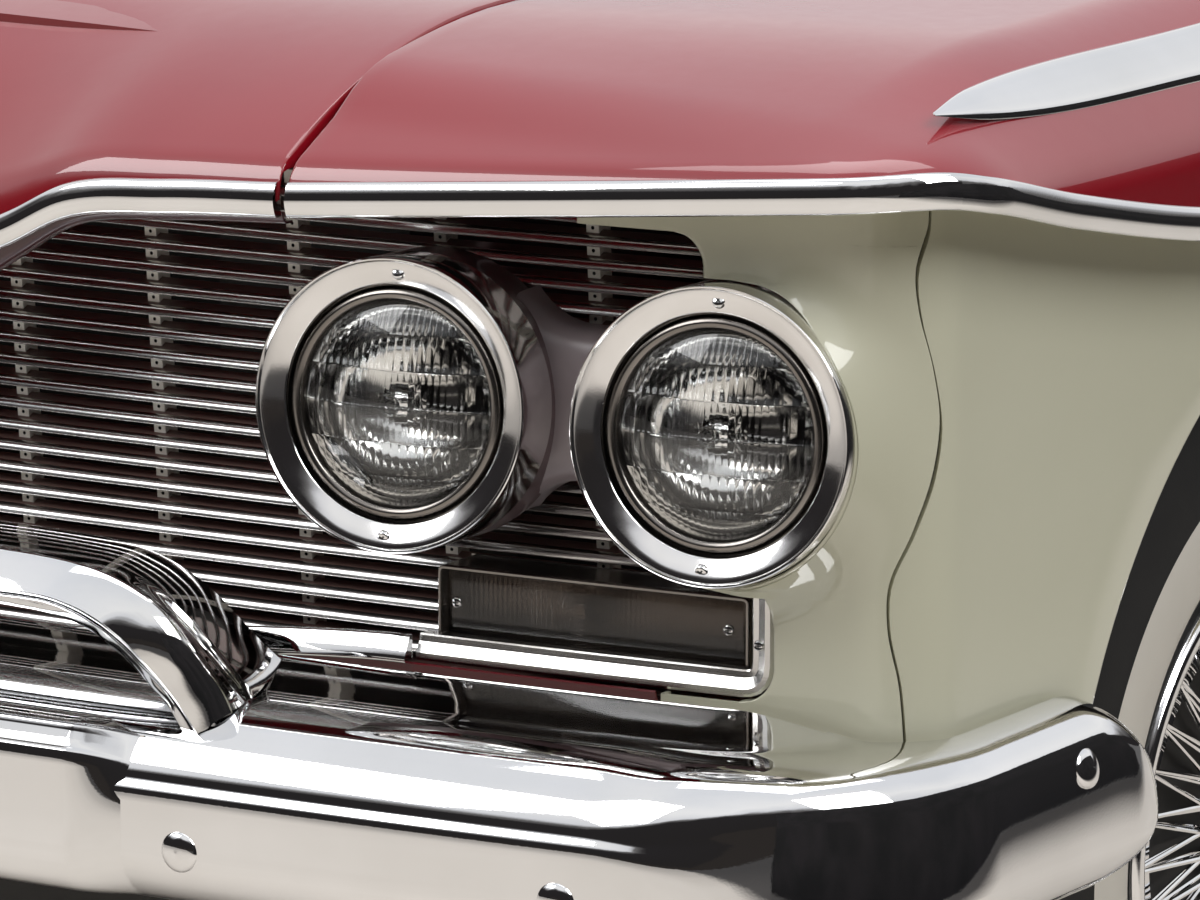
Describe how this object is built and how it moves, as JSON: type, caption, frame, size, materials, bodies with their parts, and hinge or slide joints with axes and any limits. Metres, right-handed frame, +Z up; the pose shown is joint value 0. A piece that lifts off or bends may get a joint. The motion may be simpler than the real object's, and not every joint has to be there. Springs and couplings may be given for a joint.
{
  "type": "front end of a classic car",
  "caption": "Front end of a classic two-tone car that bolts to the body: hinged hood, fenders, wide grille, paired round lamps, wrapped bumper and steered wheels.",
  "frame": {"origin": "middle of the plane of the two rail flanges that bolt to the body, 463 mm above the road", "axes": "+X the car's left, -Y its front, +Z up"},
  "size_m": [1.988, 1.4399, 0.9756],
  "materials": {
    "red_paint": "gloss",
    "frame_black": "satin",
    "apron_black": "satin",
    "ivory_paint": "gloss",
    "bright_chrome": "polished",
    "grille_aluminium": "polished",
    "post_aluminium": "satin",
    "pod_maroon": "gloss",
    "web_grey": "satin",
    "reflector": "polished",
    "lamp_glass": "gloss",
    "parking_glass": "gloss",
    "core_black": "matte",
    "cast_grey": "rough",
    "hinge_steel": "satin",
    "wheel_steel": "gloss",
    "tyre_rubber": "matte"
  },
  "bodies": {
    "front_end": {"frame_rails": "frame_black", "crossmembers": "frame_black", "bumper_brackets": "frame_black", "radiator_support": "apron_black", "radiator_core": "core_black", "apron_left": "apron_black", "apron_right": "apron_black", "upper_arm_towers": "frame_black", "lower_arms": "cast_grey", "upper_arms": "cast_grey", "fender_left": "red_paint", "fender_right": "red_paint", "lamp_surround_left": "ivory_paint", "lamp_surround_right": "ivory_paint", "brow_moulding_left": "bright_chrome", "brow_moulding_right": "bright_chrome", "side_mouldings": "bright_chrome", "spear_mouldings": "bright_chrome", "lamp_pods": "pod_maroon", "lamp_webs": "web_grey", "lamp_bezels": "bright_chrome", "lamp_rings": "bright_chrome", "lamp_bowls": "reflector", "lamp_lenses": "lamp_glass", "grille_bars": "grille_aluminium", "grille_posts": "post_aluminium", "grille_head_bar": "apron_black", "grille_lower_moulding": "bright_chrome", "parking_lamp_trays": "reflector", "parking_lamp_bulbs": "parking_glass", "parking_lamp_lenses": "parking_glass", "parking_lamp_mouldings": "bright_chrome", "stone_shield": "red_paint", "bumper_bar": "bright_chrome", "bumper_centre": "bright_chrome", "bumper_guard": "bright_chrome", "hood_hinge_brackets": "hinge_steel", "hood_latch": "hinge_steel"},
    "hood": {"hood_skin": "red_paint", "hood_frame": "red_paint", "hood_lip_moulding": "bright_chrome", "hood_hinge_arms": "hinge_steel"},
    "steer_left": {"knuckle_left": "cast_grey"},
    "road_wheel_left": {"brake_drum_left": "cast_grey", "wheel_left": "wheel_steel", "wheel_cover_left": "bright_chrome", "tyre_left": "tyre_rubber"},
    "steer_right": {"knuckle_right": "cast_grey"},
    "road_wheel_right": {"brake_drum_right": "cast_grey", "wheel_right": "wheel_steel", "wheel_cover_right": "bright_chrome", "tyre_right": "tyre_rubber"}
  },
  "joints": [
    {"name": "hood_hinge", "type": "hinge", "parent": "front_end", "child": "hood", "pos_m": [0, -0.06, 0.464], "axis": [-1, 0, 0], "range_deg": [0, 50]},
    {"name": "steering_left", "type": "hinge", "parent": "front_end", "child": "steer_left", "pos_m": [0.69, -0.57, -0.222], "axis": [-0.0936, 0, 0.9956], "range_deg": [-30, 30]},
    {"name": "steering_right", "type": "hinge", "parent": "front_end", "child": "steer_right", "pos_m": [-0.69, -0.57, -0.222], "axis": [0.0936, 0, 0.9956], "range_deg": [-30, 30]},
    {"name": "wheel_spin_left", "type": "hinge", "parent": "steer_left", "child": "road_wheel_left", "pos_m": [0.773, -0.57, -0.12], "axis": [1, 0, 0], "continuous": true},
    {"name": "wheel_spin_right", "type": "hinge", "parent": "steer_right", "child": "road_wheel_right", "pos_m": [-0.773, -0.57, -0.12], "axis": [1, 0, 0], "continuous": true}
  ],
  "couplings": [
    {"joint": "steering_right", "follows": "steering_left", "ratio": 1}
  ]
}
